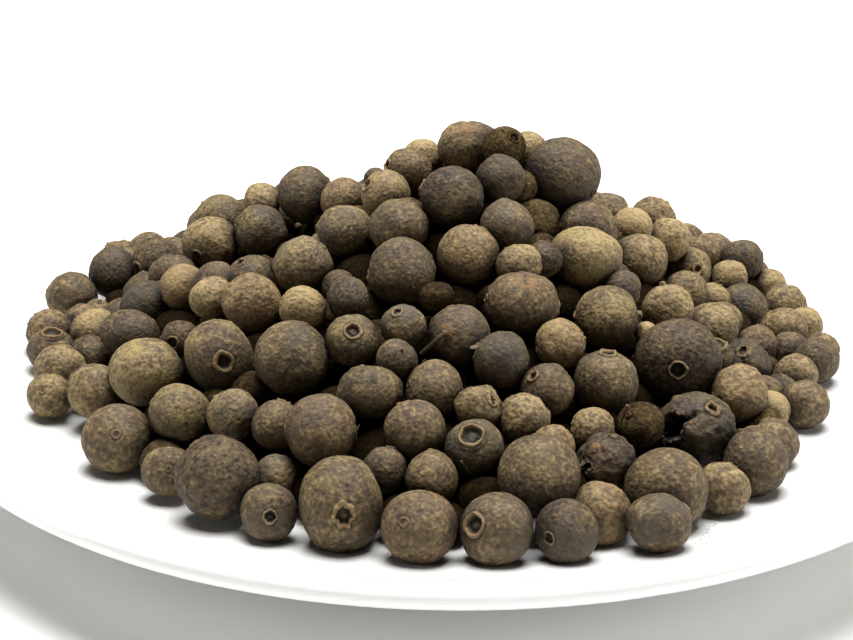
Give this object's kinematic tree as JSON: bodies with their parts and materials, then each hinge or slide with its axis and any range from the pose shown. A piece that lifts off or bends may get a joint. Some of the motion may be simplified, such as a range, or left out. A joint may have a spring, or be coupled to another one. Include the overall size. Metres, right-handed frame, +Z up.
{
  "type": "dish of allspice berries",
  "caption": "Shallow round glazed dish with a wide sloping lip, carrying a loose domed heap of dried allspice berries.",
  "frame": {"origin": "centre of the dish's foot ring, on the plane that the foot stands on", "axes": "+Z up along the dish's axis; -Y is the front, which the picture looks at"},
  "size_m": [0.132, 0.132, 0.0352],
  "materials": {
    "porcelain": "gloss",
    "berry_skin": "matte"
  },
  "bodies": {
    "root": {"dish": "porcelain", "berries": "berry_skin"}
  },
  "joints": []
}
